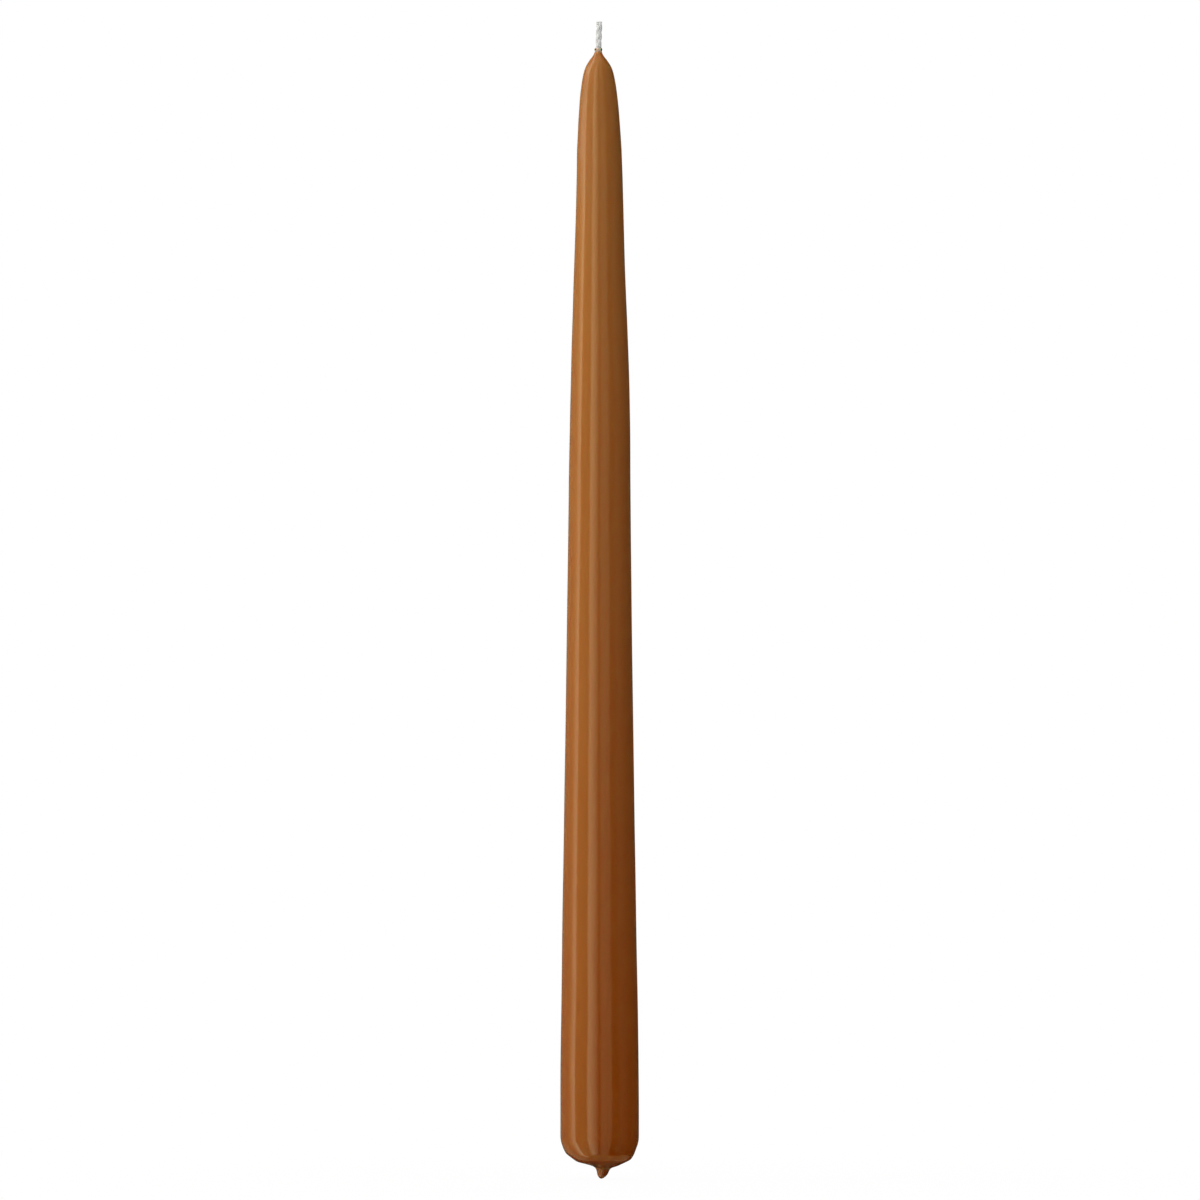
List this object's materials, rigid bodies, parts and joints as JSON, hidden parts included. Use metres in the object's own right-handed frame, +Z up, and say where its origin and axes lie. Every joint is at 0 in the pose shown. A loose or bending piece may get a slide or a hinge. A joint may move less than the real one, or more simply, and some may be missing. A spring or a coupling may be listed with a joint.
{
  "type": "taper candle",
  "caption": "Dipped taper candle with a straight seat for a holder, a long slender taper, a rounded tip with a plaited cotton wick, and a rounded base with a drip nub.",
  "frame": {"origin": "on the candle's axis, at the lower end of the straight seat that goes into a holder", "axes": "+Z up the candle towards the wick, +X to the right and -Y to the front, as the picture shows it"},
  "size_m": [0.022, 0.022, 0.322],
  "materials": {
    "wax": "smooth dipped wax with a lacquer-like gloss",
    "cotton": "undyed plaited cotton"
  },
  "bodies": {
    "root": {"wax_body": "wax", "wick": "cotton"}
  },
  "joints": []
}
